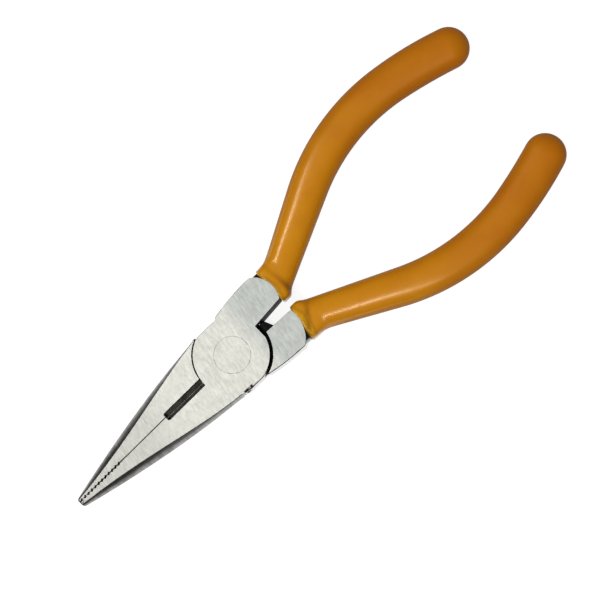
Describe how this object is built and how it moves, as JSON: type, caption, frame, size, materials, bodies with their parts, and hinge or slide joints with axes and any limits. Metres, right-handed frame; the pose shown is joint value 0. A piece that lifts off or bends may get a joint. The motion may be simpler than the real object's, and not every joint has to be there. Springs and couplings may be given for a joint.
{
  "type": "needle nose pliers",
  "caption": "Long nose pliers with side cutters: two lap-jointed forged levers on a flush rivet, toothed tapering jaws and bowed dip-coated handles.",
  "frame": {"origin": "pivot axis at the rear face, the face that the closed pliers lie on", "axes": "+X along the closed pliers to the jaw tips, +Z along the rivet from the rear face to the front face, +Y to the side of the rear lever's handle"},
  "size_m": [0.1497, 0.0554, 0.0095],
  "materials": {
    "lever_steel": "forged tool steel, faces ground across, recesses and throat left black oxide",
    "rivet_steel": "steel rivet ground flush with the faces",
    "grip_vinyl": "glossy orange dipped vinyl"
  },
  "bodies": {
    "rear_half": {"rear_lever": "lever_steel", "rear_grip": "grip_vinyl", "rivet": "rivet_steel"},
    "front_half": {"front_lever": "lever_steel", "front_grip": "grip_vinyl"}
  },
  "joints": [
    {"name": "pivot", "type": "hinge", "parent": "rear_half", "child": "front_half", "pos_m": [0, 0, 0.00475], "axis": [0, 0, 1], "range_deg": [0, 36]}
  ]
}
